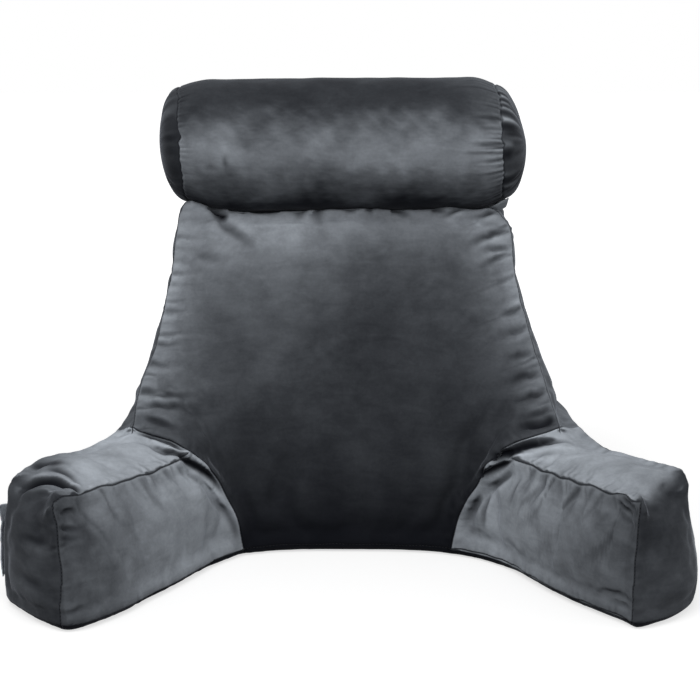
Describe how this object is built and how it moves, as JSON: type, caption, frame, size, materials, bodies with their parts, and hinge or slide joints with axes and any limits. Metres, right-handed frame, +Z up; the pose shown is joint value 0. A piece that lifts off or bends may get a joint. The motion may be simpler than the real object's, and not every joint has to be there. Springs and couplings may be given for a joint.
{
  "type": "triangular reading pillow",
  "caption": "Velvet reading pillow: a wedge-shaped filled backrest with flared arm cushions, a cylindrical neck roll along its top and a patch pocket on an arm.",
  "frame": {"origin": "on the flat underside of the backrest, on the plane midway between the arms and midway from the front of the backrest to its back", "axes": "+Z up, +X towards the sitter's left arm (right in a front view), -Y forwards, the way the arms reach"},
  "size_m": [0.8121, 0.5503, 0.5852],
  "materials": {
    "velvet_body": "slate-grey brushed velvet with a soft sheen",
    "velvet_roll": "slate-grey brushed velvet with a soft sheen",
    "velvet_trim": "slate-grey brushed velvet with a soft sheen"
  },
  "bodies": {
    "root": {"backrest": "velvet_body", "arm_left": "velvet_body", "arm_right": "velvet_body", "neck_roll": "velvet_roll", "roll_strip": "velvet_trim", "arm_pocket": "velvet_trim"}
  },
  "joints": []
}
